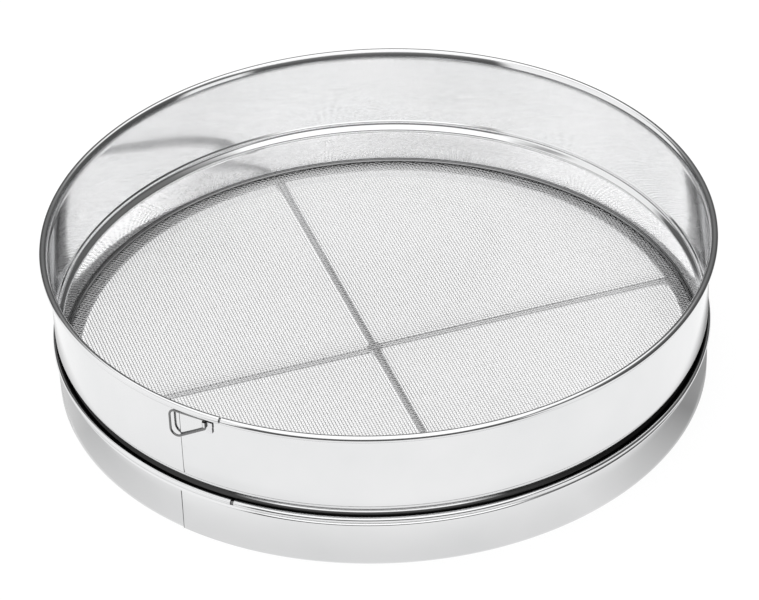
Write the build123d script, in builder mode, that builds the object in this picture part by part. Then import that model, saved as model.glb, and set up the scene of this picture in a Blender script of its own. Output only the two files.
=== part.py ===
"""Drum sieve of polished stainless steel.

A tall upper hoop with a flared, wired rim steps inward half way down, over a shoulder and
a bead, and its neck is pressed into a lower hoop with a wired roll. Between the two a
stretched wire cloth is clamped above an angle ring, and crossed rods inside the ring carry
it from below. A bent wire triangle hangs from a clip under the rim.

Millimetres, +Z up. The origin is the centre of the lower edge that the sieve stands on.
"""
import os
from math import cos, radians, sin

from build123d import *

# Overall sizes
rim_diameter = 300.0
total_height = 70.0

# Sheet and curls, the same in both hoops
sheet = 0.5
wire_fit = 0.1
curl_turn_angle = 300.0

# Upper hoop, from the rim down
rim_wire_radius = 1.0
rim_overhang = 2.25
flare_turn_angle = 32.0
shoulder_inset = 0.6
shoulder_rise = 0.8
shoulder_wall = 1.4
shoulder_bend = 0.4
ledge_bend = 2.2
bead_above_roll = 3.0
bead_inset = 3.4
bead_rise = 2.2
bead_drop = 1.5
bead_bend = 0.8
neck_inset = 1.6
neck_foot_bend = 0.6
neck_foot_lip = 1.1

# Lower hoop
skirt_wire_radius = 0.75
skirt_roll_height = 23.9
skirt_roll_inset = 0.9
skirt_roll_neck = 2.3
skirt_roll_bend = 0.7

# Seams: each band laps over itself and its outer end shows as a step
lap_thickness = 0.4
lap_length = 66.0
upper_seam_angle = -125.8
lower_seam_angle = -126.8
lap_gap = 0.6
rim_joint_angle = -117.3
rim_joint_gap = 1.0
roll_joint_angle = -116.6
roll_joint_gap = 1.6

# Wire cloth: 0.4 mm wires, 1.0 mm openings. Every tenth opening is cut, and the strands
# between are as wide as the ten wires that they stand for are heavy.
cloth_height = 8.3
cloth_thickness = 0.8
cloth_pitch = 1.4
wires_per_strand = 10
strand_width = 1.7
cloth_angle = 17.5
cloth_plain_border = 6.7
seat_fit = 0.1

# Hem: the cloth's edge, turned up between the neck and the skirt
hem_neck_gap = 0.1
hem_skirt_gap = 0.1
hem_roll_gap = 1.5

# Angle ring under the cloth
ring_flange_width = 8.8
ring_sheet = 1.0
ring_leg = 4.2
ring_fit = 0.1
ring_bend = 0.6

# Crossed rods under the cloth
rod_radius = 2.2
rod_end_fit = 0.1
crossing_x = -3.4
crossing_y = -4.4
half_rod_shift = 0.5
weld_radius = 3.4
weld_half_height = 1.7

# Hanging triangle and its clip, placed along the wall from the pivot
pivot_angle = -120.6
loop_wire_radius = 0.5
loop_wall_gap = 0.15
loop_rest_angle = -1.2
loop_rim_gap = 1.0
loop_length = 17.5
loop_height = 15.4
loop_far_drop = 0.5
loop_pivot_length = 4.8
loop_bend = 3.0
loop_pivot_bend = 1.0
hinge_fit = 0.1
clip_sheet = 0.5
clip_loop_gap = 0.4
clip_length = 2.4
clip_flange_length = 5.7
clip_flange_width = 3.4
clip_seat_gap = 0.05
clip_corner = 0.8

# Sizes that follow from those above
overrun = 5.0
rim_curl_radius = rim_wire_radius + wire_fit + sheet / 2
rim_curl_outer = rim_curl_radius + sheet / 2
rim_core_radius = rim_diameter / 2 - rim_curl_outer
rim_core_height = total_height - rim_curl_outer
wall_mid_radius = rim_core_radius - rim_overhang
wall_outer_radius = wall_mid_radius + sheet / 2
flare_out = rim_overhang - rim_curl_radius * cos(radians(flare_turn_angle))
flare_radius = flare_out / (1 - cos(radians(flare_turn_angle)))
flare_height = rim_core_height - (flare_radius - rim_curl_radius) * sin(radians(flare_turn_angle))
bead_height = skirt_roll_height + bead_above_roll
shoulder_foot_height = bead_height + bead_rise
shoulder_wall_top = shoulder_foot_height + shoulder_wall
shoulder_top_height = shoulder_wall_top + shoulder_rise
shoulder_radius = wall_mid_radius - shoulder_inset
bead_radius = wall_mid_radius - bead_inset
neck_mid_radius = wall_mid_radius - neck_inset
neck_outer_radius = neck_mid_radius + sheet / 2
cloth_top = cloth_height + cloth_thickness
neck_foot_height = cloth_top + seat_fit + sheet / 2
skirt_mid_radius = wall_mid_radius
skirt_outer_radius = skirt_mid_radius + sheet / 2
skirt_inner_radius = skirt_mid_radius - sheet / 2
roll_curl_radius = skirt_wire_radius + wire_fit + sheet / 2
roll_curl_outer = roll_curl_radius + sheet / 2
roll_neck_radius = skirt_mid_radius - skirt_roll_inset
roll_core_radius = roll_neck_radius + roll_curl_radius
roll_neck_height = skirt_roll_height - skirt_roll_neck
roll_foot_height = roll_neck_height - skirt_roll_inset
hem_inner_radius = neck_outer_radius + hem_neck_gap
hem_outer_radius = skirt_inner_radius - hem_skirt_gap
hem_top = roll_foot_height - skirt_roll_bend - hem_roll_gap
ring_top = cloth_height - seat_fit
ring_outer_radius = skirt_inner_radius - ring_fit
ring_inner_radius = ring_outer_radius - ring_flange_width
rod_height = ring_top - rod_radius
rod_reach = ring_inner_radius - rod_end_fit
clip_base_radius = wall_outer_radius + lap_thickness
pivot_radius = clip_base_radius + loop_wall_gap + loop_wire_radius
loop_pivot_top = rim_core_height - rim_curl_outer - loop_rim_gap - loop_wire_radius
loop_pivot_foot = loop_pivot_top - loop_pivot_length
loop_far_top = loop_pivot_top - loop_far_drop
loop_far_foot = loop_far_top - loop_height
clip_top = loop_pivot_top - loop_wire_radius - clip_loop_gap
clip_foot = clip_top - clip_length
clip_flange_foot = clip_top - clip_flange_length


def polar(radius, angle):
    """A point of a circle round the sieve's axis."""
    return (radius * cos(radians(angle)), radius * sin(radians(angle)))


def lap(outer_radius, seam_angle, low, high):
    """The step of a lapped band: thick at the seam, fading into the wall along its length."""
    turn = lap_length / radians(1) / outer_radius
    start = polar(outer_radius - sheet / 2, seam_angle)
    edge = polar(outer_radius + lap_thickness, seam_angle)
    middle_share = 0.5
    outer_middle = polar(outer_radius + lap_thickness * middle_share, seam_angle + turn * middle_share)
    inner_middle = polar(outer_radius - sheet / 2, seam_angle + turn * middle_share)
    end = polar(outer_radius - sheet / 2, seam_angle + turn)
    with BuildSketch(Plane.XY.offset(low)) as step:
        with BuildLine():
            Line(start, edge)
            ThreePointArc(edge, outer_middle, end)
            ThreePointArc(end, inner_middle, start)
        make_face()
    extrude(step.sketch, amount=high - low)


def joint_gap(core_radius, core_height, curl_outer, angle, gap):
    """The slit where the two ends of a curl meet; the wire inside shows through it."""
    curl_width = 2 * curl_outer
    with BuildSketch(Plane.XY.offset(core_height - curl_outer - lap_gap)) as outer_slit:
        with PolarLocations(core_radius + curl_outer, 1, start_angle=angle):
            Rectangle(curl_width, gap)
    extrude(outer_slit.sketch, amount=curl_width + overrun, mode=Mode.SUBTRACT)
    with BuildSketch(Plane.XY.offset(core_height)) as top_slit:
        with PolarLocations(core_radius, 1, start_angle=angle):
            Rectangle(curl_width + overrun, gap)
    extrude(top_slit.sketch, amount=curl_width, mode=Mode.SUBTRACT)


# Upper hoop: neck foot, neck, bead, ledge, shoulder, wall, flare and the curl of the rim
with BuildPart() as upper_hoop:
    with BuildSketch(Plane.XZ):
        with BuildLine():
            FilletPolyline(
                (neck_mid_radius - neck_foot_bend - neck_foot_lip, neck_foot_height),
                (neck_mid_radius, neck_foot_height),
                (neck_mid_radius, bead_height - bead_drop),
                (bead_radius, bead_height),
                (shoulder_radius, shoulder_foot_height),
                (shoulder_radius, shoulder_wall_top),
                (wall_mid_radius, shoulder_top_height),
                (wall_mid_radius, flare_height),
                radius=[neck_foot_bend, bead_bend, bead_bend, ledge_bend, shoulder_bend, shoulder_bend],
            )
            CenterArc(
                (wall_mid_radius + flare_radius, flare_height), flare_radius, 180, -flare_turn_angle
            )
            CenterArc(
                (rim_core_radius, rim_core_height),
                rim_curl_radius,
                180 - flare_turn_angle,
                flare_turn_angle - curl_turn_angle,
            )
            offset(amount=sheet / 2, side=Side.BOTH)
        make_face()
    revolve(axis=Axis.Z)
    lap(
        wall_outer_radius,
        upper_seam_angle,
        shoulder_top_height + shoulder_bend,
        flare_height,
    )
    joint_gap(rim_core_radius, rim_core_height, rim_curl_outer, rim_joint_angle, rim_joint_gap)
upper_hoop.part.label = "upper_hoop"

# Rim wire, closed, inside the rim's curl
with BuildPart() as rim_wire:
    with BuildSketch(Plane.XZ):
        with Locations((rim_core_radius, rim_core_height)):
            Circle(rim_wire_radius)
    revolve(axis=Axis.Z)
rim_wire.part.label = "rim_wire"

# Lower hoop: a plain skirt, cut flat at the foot, drawn in under the curl of its roll
with BuildPart() as lower_hoop:
    with BuildSketch(Plane.XZ):
        with BuildLine():
            FilletPolyline(
                (skirt_mid_radius, 0),
                (skirt_mid_radius, roll_foot_height),
                (roll_neck_radius, roll_neck_height),
                (roll_neck_radius, skirt_roll_height),
                radius=skirt_roll_bend,
            )
            CenterArc(
                (roll_core_radius, skirt_roll_height), roll_curl_radius, 180, -curl_turn_angle
            )
            offset(amount=sheet / 2, side=Side.BOTH)
        make_face()
    revolve(axis=Axis.Z)
    with BuildSketch(Plane.XY):
        Circle(rim_diameter / 2)
    extrude(amount=-overrun, mode=Mode.SUBTRACT)
    lap(
        skirt_outer_radius,
        lower_seam_angle,
        0,
        roll_foot_height - skirt_roll_bend,
    )
    joint_gap(
        roll_core_radius, skirt_roll_height, roll_curl_outer, roll_joint_angle, roll_joint_gap
    )
lower_hoop.part.label = "lower_hoop"

# Skirt wire, closed, inside the skirt's roll
with BuildPart() as skirt_wire:
    with BuildSketch(Plane.XZ):
        with Locations((roll_core_radius, skirt_roll_height)):
            Circle(skirt_wire_radius)
    revolve(axis=Axis.Z)
skirt_wire.part.label = "skirt_wire"

# Wire cloth, one holed face turned to run with the rods
strand_pitch = cloth_pitch * wires_per_strand
opening = strand_pitch - strand_width
net_radius = neck_mid_radius - neck_foot_bend - cloth_plain_border
rows = int(net_radius / strand_pitch)
with BuildPart() as mesh_screen:
    with BuildSketch(Plane.XY.offset(cloth_height)):
        Circle(hem_outer_radius)
        places = [
            (column * strand_pitch, row * strand_pitch)
            for column in range(-rows, rows + 1)
            for row in range(-rows, rows + 1)
            if (column**2 + row**2) ** 0.5 * strand_pitch + opening * 2**-0.5 < net_radius
        ]
        with Locations(Location((0, 0, 0), (0, 0, cloth_angle))):
            with Locations(*places):
                Rectangle(opening, opening, mode=Mode.SUBTRACT)
    extrude(amount=cloth_thickness)
mesh_screen.part.label = "mesh_screen"

# Hem of the cloth, between the neck and the skirt
with BuildPart() as mesh_hem:
    with BuildSketch(Plane.XY.offset(cloth_top)):
        Circle(hem_outer_radius)
        Circle(hem_inner_radius, mode=Mode.SUBTRACT)
    extrude(amount=hem_top - cloth_top)
mesh_hem.part.label = "mesh_hem"

# Angle ring: a flat flange under the cloth's edge and a short leg down at its inner edge
with BuildPart() as support_ring:
    with BuildSketch(Plane.XZ):
        with BuildLine():
            Polyline(
                (ring_outer_radius, ring_top),
                (ring_inner_radius, ring_top),
                (ring_inner_radius, ring_top - ring_leg),
                (ring_inner_radius + ring_sheet, ring_top - ring_leg),
                (ring_inner_radius + ring_sheet, ring_top - ring_sheet),
                (ring_outer_radius, ring_top - ring_sheet),
                close=True,
            )
        make_face()
    revolve(axis=Axis.Z)
    top_edges = support_ring.edges().filter_by(GeomType.CIRCLE).group_by(Axis.Z)[-1]
    fillet(top_edges.sort_by(SortBy.LENGTH)[0], ring_bend)
support_ring.part.label = "support_ring"


def rod_plane(angle, shift):
    """A plane through the crossing whose normal runs along a rod."""
    side = polar(shift, angle + 90)
    return Plane(
        origin=(crossing_x + side[0], crossing_y + side[1], rod_height),
        x_dir=(-sin(radians(angle)), cos(radians(angle)), 0),
        z_dir=(cos(radians(angle)), sin(radians(angle)), 0),
    )


def rod(angle, shift, both_ways):
    """A round rod from the crossing to the leg of the ring."""
    with BuildSketch(rod_plane(angle, shift)) as section:
        Circle(rod_radius)
    extrude(section.sketch, amount=rim_diameter / 2, both=both_ways)
    with BuildSketch(Plane.XY) as reach:
        Circle(rod_reach)
    extrude(reach.sketch, amount=total_height, mode=Mode.INTERSECT)


# Through rod, with the weld puddle at the crossing
with BuildPart() as cross_rod_long:
    rod(cloth_angle + 90, 0, True)
    with Locations((crossing_x, crossing_y, rod_height)):
        Cylinder(weld_radius, 2 * weld_half_height)
cross_rod_long.part.label = "cross_rod_long"

# Half rods, one on each side of the through rod, a little out of line with each other
half_rods = []
for name, angle, shift in (
    ("cross_rod_right", cloth_angle, half_rod_shift),
    ("cross_rod_left", cloth_angle + 180, half_rod_shift),
):
    with BuildPart() as half_rod:
        rod(angle, shift, False)
        with Locations((crossing_x, crossing_y, rod_height)):
            Cylinder(weld_radius + seat_fit, 2 * rod_radius + overrun, mode=Mode.SUBTRACT)
    half_rod.part.label = name
    half_rods.append(half_rod)

# Plane of the hanging triangle: X runs along the wall away from the pivot, Y is up
loop_heading = pivot_angle - 90 + loop_rest_angle
pivot_x, pivot_y = polar(pivot_radius, pivot_angle)
loop_plane = Plane(
    origin=(pivot_x, pivot_y, 0),
    x_dir=(cos(radians(loop_heading)), sin(radians(loop_heading)), 0),
    z_dir=(sin(radians(loop_heading)), -cos(radians(loop_heading)), 0),
)

# Hanging triangle of round wire; its short upright side is the pivot
with BuildPart() as hanging_loop:
    with BuildLine(loop_plane) as loop_path:
        FilletPolyline(
            (0, loop_pivot_top),
            (loop_length, loop_far_top),
            (loop_length, loop_far_foot),
            (0, loop_pivot_foot),
            radius=[loop_pivot_bend, loop_bend, loop_bend, loop_pivot_bend],
            close=True,
        )
    with BuildSketch(Plane(loop_path.line @ 0, z_dir=loop_path.line % 0)):
        Circle(loop_wire_radius)
    sweep(path=loop_path.line)
hanging_loop.part.label = "hanging_loop"

# Clip: a strap bent round the pivot, with a flange that is spot welded to the wall
clip_inner = loop_wire_radius + hinge_fit
clip_mid = clip_inner + clip_sheet / 2
clip_seat = pivot_radius - clip_base_radius - clip_seat_gap
clip_flange_mid = clip_seat - clip_sheet / 2
clip_plane = Plane(
    origin=(pivot_x, pivot_y, clip_foot),
    x_dir=(-sin(radians(pivot_angle)), cos(radians(pivot_angle)), 0),
    z_dir=(0, 0, 1),
)
flange_plane = Plane(
    origin=(pivot_x, pivot_y, 0),
    x_dir=(-sin(radians(pivot_angle)), cos(radians(pivot_angle)), 0),
    z_dir=(cos(radians(pivot_angle)), sin(radians(pivot_angle)), 0),
)
with BuildPart() as hanger_clip:
    with BuildSketch(clip_plane):
        with BuildLine():
            Line((-clip_mid, clip_flange_mid), (-clip_mid, 0))
            CenterArc((0, 0), clip_mid, 180, 180)
            Line((clip_mid, 0), (clip_mid, clip_flange_mid))
            Line((clip_mid, clip_flange_mid), (clip_flange_width, clip_flange_mid))
            offset(amount=clip_sheet / 2, side=Side.BOTH)
        make_face()
    extrude(amount=clip_top - clip_foot)
    with BuildSketch(flange_plane.offset(-clip_seat)) as flange:
        with Locations(((clip_inner + clip_flange_width) / 2, (clip_top + clip_flange_foot) / 2)):
            Rectangle(clip_flange_width - clip_inner, clip_top - clip_flange_foot)
        fillet(flange.vertices().group_by(Axis.Y)[0], clip_corner)
    extrude(amount=clip_sheet)
hanger_clip.part.label = "hanger_clip"

os.makedirs("parts", exist_ok=True)
for piece in (
    upper_hoop,
    rim_wire,
    lower_hoop,
    skirt_wire,
    mesh_screen,
    mesh_hem,
    support_ring,
    cross_rod_long,
    *half_rods,
    hanging_loop,
    hanger_clip,
):
    export_step(piece.part, f"parts/{piece.part.label}.step")
    print(piece.part.label, len(piece.part.solids()), round(piece.part.volume))
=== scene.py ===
"""Looks of the drum sieve: polished hoops, woven wire cloth, rods, loop and clip.

The scene is in metres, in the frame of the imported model: +Z up, origin under the drum's axis.
Sizes and places below are in millimetres and degrees, as in the CAD, and MM turns them into
metres. A pair of places holds where a change starts and where it stops.
"""
import math

import bpy
import numpy as np
from mathutils import Matrix, Vector


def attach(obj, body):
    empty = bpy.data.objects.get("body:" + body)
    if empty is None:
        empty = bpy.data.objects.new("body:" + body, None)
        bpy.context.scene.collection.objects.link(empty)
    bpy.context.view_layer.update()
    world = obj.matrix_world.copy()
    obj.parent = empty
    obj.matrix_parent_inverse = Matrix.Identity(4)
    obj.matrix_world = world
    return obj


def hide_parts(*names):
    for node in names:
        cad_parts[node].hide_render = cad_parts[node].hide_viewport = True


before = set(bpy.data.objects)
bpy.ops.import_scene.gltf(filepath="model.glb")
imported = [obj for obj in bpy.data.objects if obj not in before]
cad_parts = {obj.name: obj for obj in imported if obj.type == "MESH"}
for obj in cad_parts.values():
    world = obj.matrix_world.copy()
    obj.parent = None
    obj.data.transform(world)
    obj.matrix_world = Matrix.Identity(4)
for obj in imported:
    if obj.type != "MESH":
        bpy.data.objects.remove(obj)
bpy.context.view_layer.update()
MM = 0.001

# Rim: the curl over its wire, and the flare below it
SHEET = 0.5
RIM_OUTER = 150.0
TOTAL_HEIGHT = 70.0
CURL = 1.35
CURL_OUT = CURL + SHEET / 2
CURL_TURN = 300
RIM_CORE = (RIM_OUTER - CURL_OUT, TOTAL_HEIGHT - CURL_OUT)
RIM_WIRE = 1.0
RIM_OVERHANG = 2.25
WALL_MID = RIM_CORE[0] - RIM_OVERHANG
FLARE_TURN = 32.0
FLARE_COS = math.cos(math.radians(FLARE_TURN))
FLARE = (RIM_OVERHANG - CURL * FLARE_COS) / (1 - FLARE_COS)
FLARE_Z = RIM_CORE[1] - (FLARE - CURL) * math.sin(math.radians(FLARE_TURN))

# Lower hoop: the roll over its wire, and the skirt
ROLL_Z = 23.9
ROLL_CURL = 1.1
ROLL_WIRE = 0.75
ROLL_INSET = 0.9
ROLL_BEND = 0.7
ROLL_NECK = 2.3
ROLL_NECK_R = WALL_MID - ROLL_INSET
ROLL_NECK_Z = ROLL_Z - ROLL_NECK
ROLL_CORE = (ROLL_NECK_R + ROLL_CURL, ROLL_Z)

# Wire cloth
CLOTH_TOP = 9.1
CLOTH_WIRE = 0.4
CLOTH_MID = CLOTH_TOP - CLOTH_WIRE
CLOTH_PITCH = 1.4
CLOTH_TURN = 17.5
CLOTH_EDGE = 145.2
WIRE_SIDES = 6

# Upper hoop, from the foot up: foot, neck, bead, ledge, shoulder and wall
SEAT_FIT = 0.1
FOOT_Z = CLOTH_TOP + SEAT_FIT + SHEET / 2
FOOT_BEND = 0.6
FOOT_REACH = 1.7
NECK_MID = WALL_MID - 1.6
BEAD = (WALL_MID - 3.4, ROLL_Z + 3.0)
BEAD_DROP = 1.5
BEAD_BEND = 0.8
LEDGE_RISE = 2.2
LEDGE_BEND = 2.2
SHOULDER_R = WALL_MID - 0.6
SHOULDER_FOOT = BEAD[1] + LEDGE_RISE
SHOULDER_TOP = SHOULDER_FOOT + 1.4
SHOULDER_BEND = 0.4
WALL_FOOT = SHOULDER_TOP + 0.8

# Laps and joints, by their headings, and the laps' cuts in degrees from the seam
UPPER_SEAM = -125.8
LOWER_SEAM = -126.8
RIM_JOINT = -117.3
RIM_GAP = 1.0
ROLL_JOINT = -116.6
ROLL_GAP = 1.6
LAP_STEP = 0.4
LAP_TURN = 25.7
LAP_CUTS = np.array([-0.13, -0.12, -0.015, -0.005, 0.005])
LAP_GROOVE = (-0.125, -0.01)
LAP_GROOVE_DEPTH = 0.3
LAP_FADE_FOOT = 0.3
LAP_FADE_TOP = 1.5
LAP_ABOVE_FOOT = 0.2
LAP_PAST_FLARE = 1.6
LAP_BELOW_SKIRT = 1.0

# How finely shapes are drawn
STEPS = 720
WALL_PIECE = 3.0
CURL_POINTS = 40
BEND_POINTS = 10
FLARE_POINTS = 24
WIRE_POINTS = 16
STRIP_END = np.radians([30, 60, 90, 120, 150])
SHARP_ANGLE = 35.0


def new_object(name, verts, faces, sharp_angle=SHARP_ANGLE):
    """A mesh object from arrays; faces is an (n, 4) or (n, 3) array of vertex numbers."""
    mesh = bpy.data.meshes.new(name)
    verts = np.asarray(verts, dtype=np.float32)
    faces = np.asarray(faces, dtype=np.int32)
    sides = faces.shape[1]
    mesh.vertices.add(len(verts))
    mesh.vertices.foreach_set("co", verts.ravel())
    mesh.loops.add(faces.size)
    mesh.loops.foreach_set("vertex_index", faces.ravel())
    mesh.polygons.add(len(faces))
    mesh.polygons.foreach_set("loop_start", np.arange(0, faces.size, sides, dtype=np.int32))
    mesh.update(calc_edges=True)
    mesh.validate()
    mesh.polygons.foreach_set("use_smooth", np.ones(len(mesh.polygons), dtype=bool))
    if sharp_angle is not None:
        mesh.set_sharp_from_angle(angle=math.radians(sharp_angle))
    obj = bpy.data.objects.new(name, mesh)
    bpy.context.scene.collection.objects.link(obj)
    return obj


def arc(cx, cz, radius, start, turn, count):
    """Points of an arc in the section plane, both ends included."""
    angles = np.radians(np.linspace(start, start + turn, count))
    return [(cx + radius * math.cos(a), cz + radius * math.sin(a)) for a in angles]


def rounded(points, radii, count=8):
    """A path with its corners rounded; radii holds one radius for each inner point."""
    out = [points[0]]
    for before, corner, after, radius in zip(points, points[1:], points[2:], radii):
        a = np.array(before) - corner
        b = np.array(after) - corner
        a = a / np.linalg.norm(a)
        b = b / np.linalg.norm(b)
        half = math.acos(max(-1.0, min(1.0, float(a @ b)))) / 2
        middle = np.array(corner) + (a + b) / np.linalg.norm(a + b) * radius / math.sin(half)
        p = np.array(corner) + a * radius / math.tan(half)
        q = np.array(corner) + b * radius / math.tan(half)
        start = math.atan2(*(p - middle)[::-1])
        end = math.atan2(*(q - middle)[::-1])
        turn = (end - start + math.pi) % (2 * math.pi) - math.pi
        out += arc(*middle, radius, math.degrees(start), math.degrees(turn), count)
    return out + [points[-1]]


def divided(path, piece):
    """A path with points added, so that no straight part is much longer than a piece."""
    out = []
    for a, b in zip(path, path[1:]):
        cuts = max(1, int(math.dist(a, b) / piece))
        for k in range(cuts):
            out.append((a[0] + (b[0] - a[0]) * k / cuts, a[1] + (b[1] - a[1]) * k / cuts))
    return out + [path[-1]]


def strip(path, thickness=SHEET):
    """The closed outline of a sheet that follows a centre line, with rounded ends."""
    p = np.array(path)
    t = np.gradient(p, axis=0)
    t[0] = p[1] - p[0]
    t[-1] = p[-1] - p[-2]
    t /= np.linalg.norm(t, axis=1)[:, None]
    half = thickness / 2
    n = np.stack([t[:, 1], -t[:, 0]], -1) * half
    ends = []
    for point, ahead, side in ((p[-1], t[-1], n[-1]), (p[0], -t[0], -n[0])):
        ends.append([point + side * math.cos(a) + ahead * half * math.sin(a) for a in STRIP_END])
    return np.array(list(p + n) + ends[0] + list((p - n)[::-1]) + ends[1])


def outer_skin(outline):
    """One for each point of an outline that faces away from the axis, and zero for others."""
    climb = np.roll(outline[:, 1], -1) - np.roll(outline[:, 1], 1)
    return (climb > 1e-6).astype(float)


def lap_rise(outline, angles, seam, low, high):
    """How far a lap lifts the outer skin: a step at the seam that fades along the band."""
    past = (angles - seam) % 360
    rise = np.where(past < LAP_TURN, LAP_STEP * (1 - past / LAP_TURN), 0.0)
    in_groove = (past > 360 + LAP_GROOVE[0]) & (past < 360 + LAP_GROOVE[1])
    rise = rise - np.where(in_groove, LAP_GROOVE_DEPTH, 0.0)
    z = outline[:, 1]
    fade = np.clip((z - low) / LAP_FADE_FOOT, 0, 1) * np.clip((high - z) / LAP_FADE_TOP, 0, 1)
    return rise[:, None] * (outer_skin(outline) * fade)[None, :]


def turned(name, outline, start, turn, lap=None):
    """A closed outline turned round the axis; lap holds a seam, its lowest and highest Z."""
    count = max(3, int(STEPS * turn / 360))
    closed = turn == 360
    angles = np.linspace(start, start + turn, count + 1)
    if closed:
        angles = angles[:-1]
    if lap is not None:
        angles = np.sort(np.concatenate([angles, (lap[0] + LAP_CUTS - start) % 360 + start]))
    rings = len(angles)
    sides = len(outline)
    r = np.repeat(outline[None, :, 0], rings, 0)
    z = np.repeat(outline[None, :, 1], rings, 0)
    if lap is not None:
        r = r + lap_rise(outline, angles, *lap)
    a = np.radians(angles)[:, None]
    verts = np.stack([r * np.cos(a), r * np.sin(a), z], -1).reshape(-1, 3) * MM
    i = np.arange(rings if closed else rings - 1)
    j = np.arange(sides)
    i, j = [v.ravel() for v in np.meshgrid(i, j, indexing="ij")]
    i2 = (i + 1) % rings
    j2 = (j + 1) % sides
    faces = np.stack([i * sides + j, i2 * sides + j, i2 * sides + j2, i * sides + j2], -1)
    if not closed:
        faces = np.concatenate([faces, end_caps(rings, sides)])
    return new_object(name, verts, faces)


def end_caps(rings, sides):
    """Faces across both ends of an open turn, between the two long sides of the outline."""
    caps = []
    for base, flip in ((0, False), ((rings - 1) * sides, True)):
        for k in range(sides // 2):
            quad = [k, k + 1, (sides - 2 - k) % sides, (sides - 1 - k) % sides]
            if len(set(quad)) == 4:
                quad = [base + corner for corner in quad]
                caps.append(quad[::-1] if flip else quad)
    return np.array(caps)


# Camera, fitted in pixels to the rim, roll and foot ellipses of the photograph. Its elevation
# and roll are in radians, and its distance is in radii of the rim
PHOTO_WIDTH = 759
PHOTO_HEIGHT = 600
FOCAL = 3500
RIM_PIXEL = (378.02, 230.62)
ELEVATION = 0.6309
CAMERA_ROLL = 0.0406
DISTANCE = 10.438
SENSOR = 36

back = Vector((0, -math.cos(ELEVATION), math.sin(ELEVATION)))
right = Vector((1, 0, 0))
up = back.cross(right)
turned_right = right * math.cos(CAMERA_ROLL) - up * math.sin(CAMERA_ROLL)
turned_up = right * math.sin(CAMERA_ROLL) + up * math.cos(CAMERA_ROLL)
aside = (RIM_PIXEL[0] - PHOTO_WIDTH / 2) / FOCAL * DISTANCE
above = (PHOTO_HEIGHT / 2 - RIM_PIXEL[1]) / FOCAL * DISTANCE
reach = (back * DISTANCE - turned_right * aside - turned_up * above) * (RIM_CORE[0] * MM)
place = Vector((0, 0, RIM_CORE[1] * MM)) + reach
camera_data = bpy.data.cameras.new("camera")
camera_data.sensor_width = SENSOR
camera_data.lens = FOCAL / PHOTO_WIDTH * SENSOR
camera_data.clip_start = 0.01
camera_data.clip_end = 50
camera = bpy.data.objects.new("camera", camera_data)
bpy.context.scene.collection.objects.link(camera)
rotation = Matrix((turned_right, turned_up, back)).transposed()
camera.matrix_world = Matrix.Translation(place) @ rotation.to_4x4()
bpy.context.scene.camera = camera


class Wiring:
    """A short way to add nodes to a tree and to reckon with their values."""

    def __init__(self, tree):
        self.tree = tree
        self.tree.nodes.clear()

    def add(self, kind, **values):
        node = self.tree.nodes.new(kind)
        for key, value in values.items():
            setattr(node, key, value)
        return node

    def link(self, output, entry):
        self.tree.links.new(output, entry)

    def reckon(self, kind, a, b=0.0):
        """A sum of two values, each a float or the output of a node."""
        node = self.add("ShaderNodeMath", operation=kind)
        for entry, value in zip(node.inputs, (a, b)):
            if isinstance(value, float):
                entry.default_value = value
            else:
                self.link(value, entry)
        return node.outputs[0]

    def times(self, *values):
        """The product of two values or more."""
        total = values[0]
        for value in values[1:]:
            total = self.reckon("MULTIPLY", total, value)
        return total

    def along(self, value, start, end, low, high):
        """A value that runs from low to high while another runs from start to end."""
        node = self.add("ShaderNodeMapRange")
        self.link(value, node.inputs["Value"])
        ends = {"From Min": start, "From Max": end, "To Min": low, "To Max": high}
        for name, number in ends.items():
            node.inputs[name].default_value = number
        return node.outputs["Result"]

    def over(self, value, ends, low, high):
        """A value that runs from low to high between two ends in millimetres."""
        return self.along(value, ends[0] * MM, ends[1] * MM, low, high)

    def between(self, value, rise, fall):
        """One between a rise and a fall, each a pair of places in millimetres."""
        return self.times(self.over(value, rise, 0.0, 1.0), self.over(value, fall, 1.0, 0.0))

    def toward(self, x, y, heading):
        """How far a place or a direction reaches along a heading in plan."""
        a = math.radians(heading)
        return self.reckon("ADD", self.times(x, math.cos(a)), self.times(y, math.sin(a)))

    def sector(self, x, y, heading, half):
        """One for directions within a sector in plan, and zero outside it."""
        outer = math.cos(math.radians(half + SCREEN_EDGE))
        inner = math.cos(math.radians(half - SCREEN_EDGE))
        return self.along(self.toward(x, y, heading), outer, inner, 0.0, 1.0)

    def plan(self, vector):
        """The X, Y and Z of a vector, then the vector in plan, then its length in plan."""
        split = self.add("ShaderNodeSeparateXYZ")
        self.link(vector, split.inputs[0])
        flat = self.add("ShaderNodeCombineXYZ")
        for axis in ("X", "Y"):
            self.link(split.outputs[axis], flat.inputs[axis])
        length = self.add("ShaderNodeVectorMath", operation="LENGTH")
        self.link(flat.outputs["Vector"], length.inputs[0])
        return (*split.outputs, flat.outputs["Vector"], length.outputs["Value"])

    def dot(self, a, b):
        """How far two directions agree."""
        node = self.add("ShaderNodeVectorMath", operation="DOT_PRODUCT")
        self.link(a, node.inputs[0])
        self.link(b, node.inputs[1])
        return node.outputs["Value"]


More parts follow.
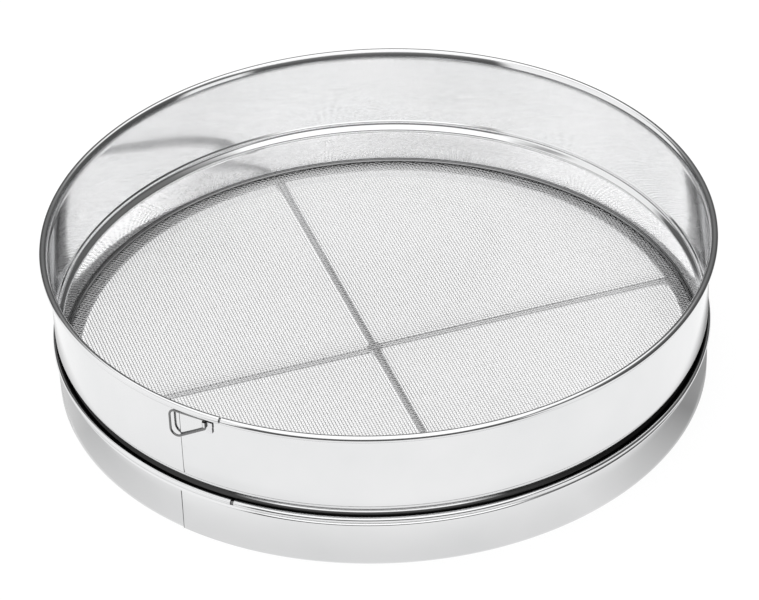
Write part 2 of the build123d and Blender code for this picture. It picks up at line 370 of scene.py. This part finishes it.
class Material(Wiring):
    """A node material with one shader, in the object's own coordinates."""

    # A noise keeps mostly within this range
    NOISE = (0.3, 0.7)

    def __init__(self, name, metallic=0.0):
        self.material = bpy.data.materials.new(name)
        self.material.use_nodes = True
        super().__init__(self.material.node_tree)
        self.out = self.add("ShaderNodeOutputMaterial")
        self.shader = self.add("ShaderNodeBsdfPrincipled")
        self.shader.inputs["Metallic"].default_value = metallic
        self.link(self.shader.outputs["BSDF"], self.out.inputs["Surface"])
        coordinates = self.add("ShaderNodeTexCoord")
        self.place = coordinates.outputs["Object"]
        self.normal = coordinates.outputs["Normal"]

    def give(self, output, entry):
        self.link(output, self.shader.inputs[entry])

    def noise(self, scale, detail, rough, stretch=(1, 1, 1)):
        mapping = self.add("ShaderNodeMapping")
        mapping.inputs["Scale"].default_value = stretch
        self.link(self.place, mapping.inputs["Vector"])
        node = self.add("ShaderNodeTexNoise")
        node.inputs["Scale"].default_value = scale
        node.inputs["Detail"].default_value = detail
        node.inputs["Roughness"].default_value = rough
        self.link(mapping.outputs["Vector"], node.inputs["Vector"])
        return node.outputs["Fac"]

    def tint(self, value, low, high, ends=NOISE):
        """A colour that runs from low to high while a value runs between its ends."""
        node = self.add("ShaderNodeValToRGB")
        for element, position, colour in zip(node.color_ramp.elements, ends, (low, high)):
            element.position = position
            element.color = (*colour, 1)
        self.link(value, node.inputs["Fac"])
        return node.outputs["Color"]

    def mix(self, share, a, b):
        """Two colours mixed by a share of the second; each is an output or three numbers."""
        node = self.add("ShaderNodeMix", data_type="RGBA")
        self.link(share, node.inputs["Factor"])
        for entry, colour in (("A", a), ("B", b)):
            if isinstance(colour, tuple):
                node.inputs[entry].default_value = (*colour, 1)
            else:
                self.link(colour, node.inputs[entry])
        return node.outputs["Result"]

    def bump(self, height, strength, distance, before=None):
        """A normal bent by a height; before is the normal that it starts from."""
        node = self.add("ShaderNodeBump")
        node.inputs["Strength"].default_value = strength
        node.inputs["Distance"].default_value = distance
        self.link(height, node.inputs["Height"])
        if before is not None:
            self.link(before, node.inputs["Normal"])
        return node.outputs["Normal"]


# Polished sheet
STEEL_DARK = (0.72, 0.725, 0.73)
STEEL_LIGHT = (0.77, 0.77, 0.775)
STEEL_ROUGH = (0.07, 0.12)
WAVE_DEPTH = 0.1
BUFFING_DEPTH = 0.004
FACING_EDGE = 0.001

# The groove between the hoops, the foot and the roll: painted shade, a near black colour in front and a
# darker one at the sides, and where that shade and a rougher steel go
GROOVE_SHADE = (0.055, 0.03)
GROOVE_SIDE = (70, 110)
GROOVE_EDGE = (WALL_MID - 1.25, WALL_MID - 1.05)
DULL_ROUGH = 0.25
FOOT_SHADE = 0.6
FOOT_SHADE_Z = (9.9, 10.3)
ROLL_SIDE = (70, 120)
ROLL_SHADE_R = (145.8, 146.6)
ROLL_SHADE_FADE = (0.0, 0.2)
ROLL_SHADE_START = (144.9, 145.0)
ROLL_SHADE_Z = ((21.5, 21.7), (25.6, 25.7))

# The bead's outer bend, kept bright in front: it gets no painted groove shade and no rougher steel
# there
BEND_X = ((-65, -45), (30, 50))
BEND_Y = (-20, 0)
BEND_Z = (26.1, 26.3)

# The neck's inner face has painted light: a lighter steel colour, so that its reflection is brighter.
# It also mirrors as if it leaned out towards its top, less so at the left. The lean is a bump: the neck
# itself is upright
NECK_PAINTED_LIGHT = (0.93, 0.93, 0.935)
NECK_Z = ((10.3, 10.8), (24.0, 25.0))
LEAN = 2.1
LEAN_Z = (10.3, 24.5)
LEAN_X = (-125, -85)
LEAN_LEFT = 0.25

# The sheared edge of each lap, painted with a fine line of shade: heading, lowest and highest Z
SEAM_LINE = 0.18
SEAM_FADE = 0.3
SEAM_FACE = (WALL_MID + 0.1, WALL_MID + 0.2)
SEAMS = (
    (UPPER_SEAM, WALL_FOOT, RIM_CORE[1] - 1.5),
    (LOWER_SEAM, 0.0, ROLL_NECK_Z - 1.5),
)

# Spot welds: heading and Z
SPOTS = ((-125.1, 45.4), (-125.4, 6.0))
SPOT_R = WALL_MID + 0.6
SPOT_DENT = (0.3, 1.5)
SPOT_DEPTH = 0.18


def shade_and_roughness(m, x, y, z, away, outside, deep):
    """Painted shade in the colour, and a rougher steel where no buffing wheel reaches: the groove, the
    foot and the roll's side to the neck.
    """
    bend = m.times(m.between(x, *BEND_X), m.over(z, BEND_Z, 0.0, 1.0), m.over(y, BEND_Y, 1.0, 0.0))
    groove = m.times(outside, deep, m.reckon("SUBTRACT", 1.0, bend))
    foot = m.times(deep, m.over(z, FOOT_SHADE_Z, FOOT_SHADE, 0.0))
    sideways = m.reckon("ABSOLUTE", x)
    limit = m.over(sideways, ROLL_SIDE, ROLL_SHADE_R[0] * MM, ROLL_SHADE_R[1] * MM)
    within = m.over(m.reckon("SUBTRACT", away, limit), ROLL_SHADE_FADE, 1.0, 0.0)
    roll = m.times(m.over(away, ROLL_SHADE_START, 0.0, 1.0), within, m.between(z, *ROLL_SHADE_Z))
    return m.reckon("MAXIMUM", m.reckon("MAXIMUM", groove, foot), roll)


def seam_line(m, x, y, z, seam, low, high):
    """The sheared edge of a lap: a fine line of painted shade on the outer face."""
    across = m.reckon("ABSOLUTE", m.toward(x, y, seam + 90))
    near = m.over(across, (SEAM_LINE, SEAM_LINE * 2), 1.0, 0.0)
    out = m.over(m.toward(x, y, seam), SEAM_FACE, 0.0, 1.0)
    level = m.between(z, (low, low + SEAM_FADE), (high, high + SEAM_FADE))
    return m.times(near, out, level)


def polished(name):
    """Mirror polished sheet: faint waves, buffing marks, smudges and two spot welds, with painted shade
    in the groove, at the foot and along the laps, and painted light on the neck's inner face.
    """
    m = Material(name, 1.0)
    x, y, z, _, away = m.plan(m.place)
    outside = m.along(m.dot(m.normal, m.place), 0.0, FACING_EDGE, 0.0, 1.0)
    deep = m.over(away, GROOVE_EDGE, 1.0, 0.0)
    shade_and_rough = shade_and_roughness(m, x, y, z, away, outside, deep)
    for seam in SEAMS:
        shade_and_rough = m.reckon("MAXIMUM", shade_and_rough, seam_line(m, x, y, z, *seam))

    smudge = m.noise(scale=22, detail=4, rough=0.55)
    # Painted shade: near black steel in the groove, at the foot, on the roll and along the lap edges,
    # darker at the sides
    dark = m.over(m.reckon("ABSOLUTE", x), GROOVE_SIDE, *GROOVE_SHADE)
    colour = m.mix(shade_and_rough, m.tint(smudge, STEEL_DARK, STEEL_LIGHT), dark)
    inside = m.times(deep, m.reckon("SUBTRACT", 1.0, outside))
    # Painted light: the neck's inner face gets a brighter steel colour
    m.give(m.mix(m.times(inside, m.between(z, *NECK_Z)), colour, NECK_PAINTED_LIGHT), "Base Color")
    soft = m.along(smudge, *m.NOISE, *STEEL_ROUGH)
    m.give(m.reckon("ADD", m.times(shade_and_rough, DULL_ROUGH), soft), "Roughness")

    waves = m.noise(scale=14, detail=1.5, rough=0.4, stretch=(1, 1, 0.35))
    normal = m.bump(waves, 1.0, WAVE_DEPTH * MM)
    lean = m.times(m.over(z, LEAN_Z, LEAN * MM, 0.0), m.over(x, LEAN_X, LEAN_LEFT, 1.0))
    normal = m.bump(m.times(inside, lean), 1.0, 1.0, normal)
    buffing = m.noise(scale=900, detail=2, rough=0.6, stretch=(1, 1, 6))
    normal = m.bump(buffing, 0.25, BUFFING_DEPTH * MM, normal)
    for heading, height in SPOTS:
        a = math.radians(heading)
        gap = m.add("ShaderNodeVectorMath", operation="DISTANCE")
        m.link(m.place, gap.inputs[0])
        gap.inputs[1].default_value = Vector((SPOT_R * math.cos(a), SPOT_R * math.sin(a), height)) * MM
        normal = m.bump(m.over(gap.outputs["Value"], SPOT_DENT, 0.0, 1.0), 1.0, SPOT_DEPTH * MM, normal)
    m.give(normal, "Normal")
    return m.material


def marked(m, grain, rough, depth):
    """Fine marks on bright steel, in its shine and its surface."""
    marks = m.noise(scale=grain, detail=3, rough=0.6)
    m.give(m.along(marks, *m.NOISE, *rough), "Roughness")
    m.give(m.bump(marks, 0.4, depth * MM), "Normal")
    return marks


def drawn(name, level, rough, grain=700, depth=0.01):
    """Bright drawn wire or rod: fine marks and a soft shine."""
    m = Material(name, 1.0)
    marks = marked(m, grain, rough, depth)
    m.give(m.tint(marks, (level * 0.88,) * 3, (level, level, level * 1.01)), "Base Color")
    return m.material


def weave(name):
    """The cloth's edge, turned up between the hoops: a fine weave, painted dark for the shade between
    the hoops.
    """
    m = Material(name, 1.0)
    m.shader.inputs["Roughness"].default_value = 0.4
    cells = m.add("ShaderNodeTexVoronoi")
    cells.inputs["Scale"].default_value = 700
    m.link(m.place, cells.inputs["Vector"])
    distance = cells.outputs["Distance"]
    # Painted shade: the weave runs from grey to near black
    m.give(m.tint(distance, (0.5, 0.5, 0.5), (0.08, 0.08, 0.08), (0.1, 0.8)), "Base Color")
    m.give(m.bump(distance, 1.0, 0.3 * MM), "Normal")
    return m.material


def strap(name):
    """Bright strap, with painted shade on the faces that lie across the wall: they are near black."""
    m = Material(name, 1.0)
    flat = m.plan(m.place)[3]
    outward = m.add("ShaderNodeVectorMath", operation="NORMALIZE")
    m.link(flat, outward.inputs[0])
    facing = m.dot(m.normal, outward.outputs["Vector"])
    # Painted shade: faces that do not face outward are near black
    m.give(m.tint(facing, (0.07, 0.07, 0.072), (0.72, 0.72, 0.73), (0.80, 0.97)), "Base Color")
    marked(m, 500, (0.16, 0.28), 0.01)
    return m.material


band_steel = polished("band_steel")
# Painted shade: the wires inside the curls and the hanging loop are very dark steel
wire_shaded = drawn("wire_shaded", 0.20, (0.12, 0.22))
cloth_steel = drawn("cloth_steel", 0.70, (0.22, 0.36), 500, 0.005)
rod_steel = drawn("rod_steel", 0.58, (0.10, 0.18), 300)
ring_steel = drawn("ring_steel", 0.50, (0.10, 0.18), 260)
hem_shaded = weave("hem_weave")
clip_steel = strap("clip_steel")


def dress(obj, material):
    obj.data.materials.clear()
    obj.data.materials.append(material)


# Hoops, turned finely enough for mirror reflections
wall_path = rounded(
    [
        (NECK_MID - FOOT_REACH, FOOT_Z),
        (NECK_MID, FOOT_Z),
        (NECK_MID, BEAD[1] - BEAD_DROP),
        BEAD,
        (SHOULDER_R, SHOULDER_FOOT),
        (SHOULDER_R, SHOULDER_TOP),
        (WALL_MID, WALL_FOOT),
        (WALL_MID, FLARE_Z),
    ],
    [FOOT_BEND, BEAD_BEND, BEAD_BEND, LEDGE_BEND, SHOULDER_BEND, SHOULDER_BEND],
    BEND_POINTS,
)
wall_path += arc(WALL_MID + FLARE, FLARE_Z, FLARE, 180, -FLARE_TURN, FLARE_POINTS)[1:]
upper_lap = (UPPER_SEAM, WALL_FOOT + LAP_ABOVE_FOOT, FLARE_Z + LAP_PAST_FLARE)
upper_wall = turned("upper_wall", strip(divided(wall_path, WALL_PIECE)), -180, 360, upper_lap)

rim_section = strip(arc(*RIM_CORE, CURL, 180 - FLARE_TURN, FLARE_TURN - CURL_TURN, CURL_POINTS))
rim_gap_turn = math.degrees(RIM_GAP / RIM_CORE[0])
rim_curl = turned("rim_curl", rim_section, RIM_JOINT + rim_gap_turn / 2, 360 - rim_gap_turn)

skirt_path = rounded(
    [
        (WALL_MID, SHEET / 2),
        (WALL_MID, ROLL_NECK_Z - ROLL_INSET),
        (ROLL_NECK_R, ROLL_NECK_Z),
        (ROLL_NECK_R, ROLL_Z),
    ],
    [ROLL_BEND, ROLL_BEND],
)
lower_lap = (LOWER_SEAM, -LAP_BELOW_SKIRT, ROLL_NECK_Z - ROLL_INSET)
skirt_wall = turned("skirt_wall", strip(skirt_path), -180, 360, lower_lap)

roll_section = strip(arc(*ROLL_CORE, ROLL_CURL, 180, -CURL_TURN, CURL_POINTS))
roll_gap_turn = math.degrees(ROLL_GAP / ROLL_CORE[0])
skirt_curl = turned("skirt_curl", roll_section, ROLL_JOINT + roll_gap_turn / 2, 360 - roll_gap_turn)

for piece, node in (
    (upper_wall, "upper_hoop"),
    (rim_curl, "upper_hoop"),
    (skirt_wall, "lower_hoop"),
    (skirt_curl, "lower_hoop"),
):
    dress(piece, band_steel)
    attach(piece, "drum")
    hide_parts(node)

# Hoop wires inside the curls, seen in the two joint gaps
for name, core, radius, node in (
    ("rim_core", RIM_CORE, RIM_WIRE, "rim_wire"),
    ("roll_core", ROLL_CORE, ROLL_WIRE, "skirt_wire"),
):
    section = np.array(arc(*core, radius, 0, -360, WIRE_POINTS + 1)[:-1])
    ring = turned(name, section, -180, 360)
    dress(ring, wire_shaded)
    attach(ring, "drum")
    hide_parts(node)


def wire(y, row, lift):
    """Points and faces of one wire of the cloth, along X, that waves up and down."""
    last = int(math.sqrt(CLOTH_EDGE**2 - y * y) / CLOTH_PITCH)
    cross = np.arange(-last, last + 1)
    count = len(cross)
    radius = CLOTH_WIRE / 2
    z = radius * np.where((cross + row + lift) % 2 == 0, 1.0, -1.0)
    path = np.stack([cross * CLOTH_PITCH, np.full(count, y), z], -1)
    ring = np.radians(np.arange(WIRE_SIDES) * 360 / WIRE_SIDES + 30)
    section = np.stack([np.zeros(WIRE_SIDES), radius * np.cos(ring), radius * np.sin(ring)], -1)
    points = (path[:, None, :] + section[None]).reshape(-1, 3)
    i, j = np.meshgrid(np.arange(count - 1), np.arange(WIRE_SIDES), indexing="ij")
    i = i.ravel() * WIRE_SIDES
    j = j.ravel()
    j2 = (j + 1) % WIRE_SIDES
    return points, np.stack([i + j, i + WIRE_SIDES + j, i + WIRE_SIDES + j2, i + j2], -1)


def woven(name, heading, lift):
    """All the wires that run one way; lift, 0 or 1, says at which crossings they rise."""
    rows = int(CLOTH_EDGE / CLOTH_PITCH)
    verts, faces, base = [], [], 0
    for row in range(-rows, rows + 1):
        points, sides = wire(row * CLOTH_PITCH, row, lift)
        verts.append(points)
        faces.append(base + sides)
        base += len(points)
    v = np.concatenate(verts)
    a = math.radians(heading)
    x = v[:, 0] * math.cos(a) - v[:, 1] * math.sin(a)
    y = v[:, 0] * math.sin(a) + v[:, 1] * math.cos(a)
    turned_verts = np.stack([x, y, v[:, 2] + CLOTH_MID], -1) * MM
    return new_object(name, turned_verts, np.concatenate(faces), None)


# Both ways rise at the same crossings, so their wires meet there; a true weave has lifts 0 and 1
for name, heading, lift in (("cloth_warp", CLOTH_TURN, 0), ("cloth_weft", CLOTH_TURN + 90, 0)):
    wires = woven(name, heading, lift)
    dress(wires, cloth_steel)
    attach(wires, "drum")
    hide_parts("mesh_screen")

# The other pieces keep their CAD shape
for node, look in (
    ("mesh_hem", hem_shaded),
    ("support_ring", ring_steel),
    ("cross_rod_long", rod_steel),
    ("cross_rod_right", rod_steel),
    ("cross_rod_left", rod_steel),
    ("hanging_loop", wire_shaded),
    ("hanger_clip", clip_steel),
):
    dress(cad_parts[node], look)

# Paper on the floor, as lamps and the camera see it
FLOOR_SIZE = 6.0
PAPER_WHITE = (0.92, 0.92, 0.92, 1)
PAPER_LIGHT = 1.09
PAPER_SHARE = 0.78

# What the polished steel sees of the paper. It is bright near by, with a painted pool of light under
# the sieve and painted shadows in front of the skirt and beside it, and dark where the paper ends in
# the room.
# A turn is Y, or X, as a share of the distance from the axis
PAPER_NEAR = 1.03
PAPER_UNDER_LIGHT = 1.75
PAPER_EDGE = (250, 360)
SKIRT_EDGE = (144, 147)
ROOM_LIGHT = 0.07
FRONT_SHADOW = 0.20
FRONT_SHADOW_TURN = (-0.85, -0.25)
FRONT_SHADOW_R = (150, 190)
SIDE_SHADOW = (0.42, 0.74)
SIDE_SHADOW_X = (-0.5, 0.5)
SIDE_SHADOW_TURN = (-0.80, -0.35)
SIDE_SHADOW_R = (160, 170)

# What it sees of the sky: brightness by height, lifted in front and behind, and two bright
# screens beside the table, by heading, half width and how high each one reaches
SKY = ((0.0, 0.06), (0.45, 0.08), (0.74, 0.16), (0.80, 0.35), (0.85, 0.90), (0.88, 1.0), (1.0, 1.0))
SKY_LIGHT = 1.42
FRONT_LIFT = 0.31
FRONT_LIFT_TURN = (-0.4, -0.9)
BACK_LIFT = 0.13
BACK_LIFT_TURN = (0.3, 0.8)
SCREENS = ((187.5, 37.5, 0.745), (323.5, 12.0, 0.30))
SCREEN_LIGHT = 1.15
SCREEN_EDGE = 3
SCREEN_FADE = 0.06


def paper_look(name):
    """Pale paper that keeps the sieve's shadow, and its reflection in the steel, with painted shadows
    beside the skirt and a painted pool of light under the sieve.
    """
    m = Material(name)
    m.shader.inputs["Base Color"].default_value = PAPER_WHITE
    m.shader.inputs["Roughness"].default_value = 0.9
    m.shader.inputs["Specular IOR Level"].default_value = 0.0
    lit = m.add("ShaderNodeEmission")
    lit.inputs["Strength"].default_value = PAPER_LIGHT
    paper = m.add("ShaderNodeMixShader")
    paper.inputs["Fac"].default_value = PAPER_SHARE
    m.link(m.shader.outputs["BSDF"], paper.inputs[1])
    m.link(lit.outputs["Emission"], paper.inputs[2])

    x, y, _, _, away = m.plan(m.place)
    x = m.reckon("DIVIDE", x, away)
    y = m.reckon("DIVIDE", y, away)
    # Painted shadows in the paper's reflection, in front of the skirt and beside it
    front = m.times(m.along(y, *FRONT_SHADOW_TURN, FRONT_SHADOW, 0.0), m.over(away, FRONT_SHADOW_R, 1.0, 0.0))
    beside = m.times(m.along(y, *SIDE_SHADOW_TURN, 0.0, 1.0), m.over(away, SIDE_SHADOW_R, 1.0, 0.0))
    beside = m.times(beside, m.along(x, *SIDE_SHADOW_X, *SIDE_SHADOW))
    kept = m.reckon("SUBTRACT", 1.0, m.reckon("ADD", front, beside))
    around = m.times(m.over(away, SKIRT_EDGE, 0.0, 1.0), kept, PAPER_NEAR)
    # A painted pool of light: the paper under the sieve is brighter in the reflection
    level = m.reckon("ADD", around, m.over(away, SKIRT_EDGE, PAPER_UNDER_LIGHT, 0.0))
    extent = m.over(away, PAPER_EDGE, 1.0, 0.0)
    for heading, half, _ in SCREENS:
        extent = m.reckon("MAXIMUM", extent, m.sector(x, y, heading, half))
    mirrored = m.add("ShaderNodeEmission")
    m.link(m.reckon("ADD", m.times(level, extent), ROOM_LIGHT), mirrored.inputs["Strength"])

    ray = m.add("ShaderNodeLightPath")
    either = m.add("ShaderNodeMixShader")
    m.link(ray.outputs["Is Glossy Ray"], either.inputs["Fac"])
    m.link(paper.outputs["Shader"], either.inputs[1])
    m.link(mirrored.outputs["Emission"], either.inputs[2])
    m.link(either.outputs["Shader"], m.out.inputs["Surface"])
    return m.material


def studio_light(world):
    """An even white light, and the room that the polished steel mirrors."""
    world.use_nodes = True
    w = Wiring(world.node_tree)
    background = w.add("ShaderNodeBackground")
    out = w.add("ShaderNodeOutputWorld")
    w.link(background.outputs[0], out.inputs[0])
    x, y, z, _, length = w.plan(w.add("ShaderNodeTexCoord").outputs["Generated"])
    x = w.reckon("DIVIDE", x, length)
    y = w.reckon("DIVIDE", y, length)
    front = w.along(y, *FRONT_LIFT_TURN, 0.0, FRONT_LIFT)
    rear = w.along(y, *BACK_LIFT_TURN, 0.0, BACK_LIFT)
    raised = w.reckon("ADD", z, w.reckon("ADD", front, rear))
    sky = w.add("ShaderNodeValToRGB")
    stops = sky.color_ramp.elements
    for position, level in SKY[1:-1]:
        stops.new(position)
    for stop, (position, level) in zip(stops, SKY):
        stop.position = position
        stop.color = (level, level, level, 1)
    w.link(raised, sky.inputs["Fac"])
    room = sky.outputs["Color"]
    for heading, half, top in SCREENS:
        screen = w.times(w.sector(x, y, heading, half), w.along(z, top, top + SCREEN_FADE, 1.0, 0.0))
        room = w.reckon("MAXIMUM", room, w.times(screen, SCREEN_LIGHT / SKY_LIGHT))

    glossy = w.add("ShaderNodeLightPath").outputs["Is Glossy Ray"]
    either = w.add("ShaderNodeMix", data_type="RGBA")
    either.inputs["A"].default_value = (1, 1, 1, 1)
    w.link(room, either.inputs["B"])
    w.link(glossy, either.inputs["Factor"])
    w.link(either.outputs["Result"], background.inputs["Color"])
    w.link(w.along(glossy, 0.0, 1.0, 1.0, SKY_LIGHT), background.inputs["Strength"])


corners = np.array([(-1, -1, 0), (1, -1, 0), (1, 1, 0), (-1, 1, 0)]) * FLOOR_SIZE
floor = new_object("floor", corners, np.array([[0, 1, 2, 3]]), None)
dress(floor, paper_look("floor_paper"))

bpy.context.scene.world = bpy.data.worlds.new("studio")
studio_light(bpy.context.scene.world)
bpy.context.scene.view_settings.view_transform = "Standard"
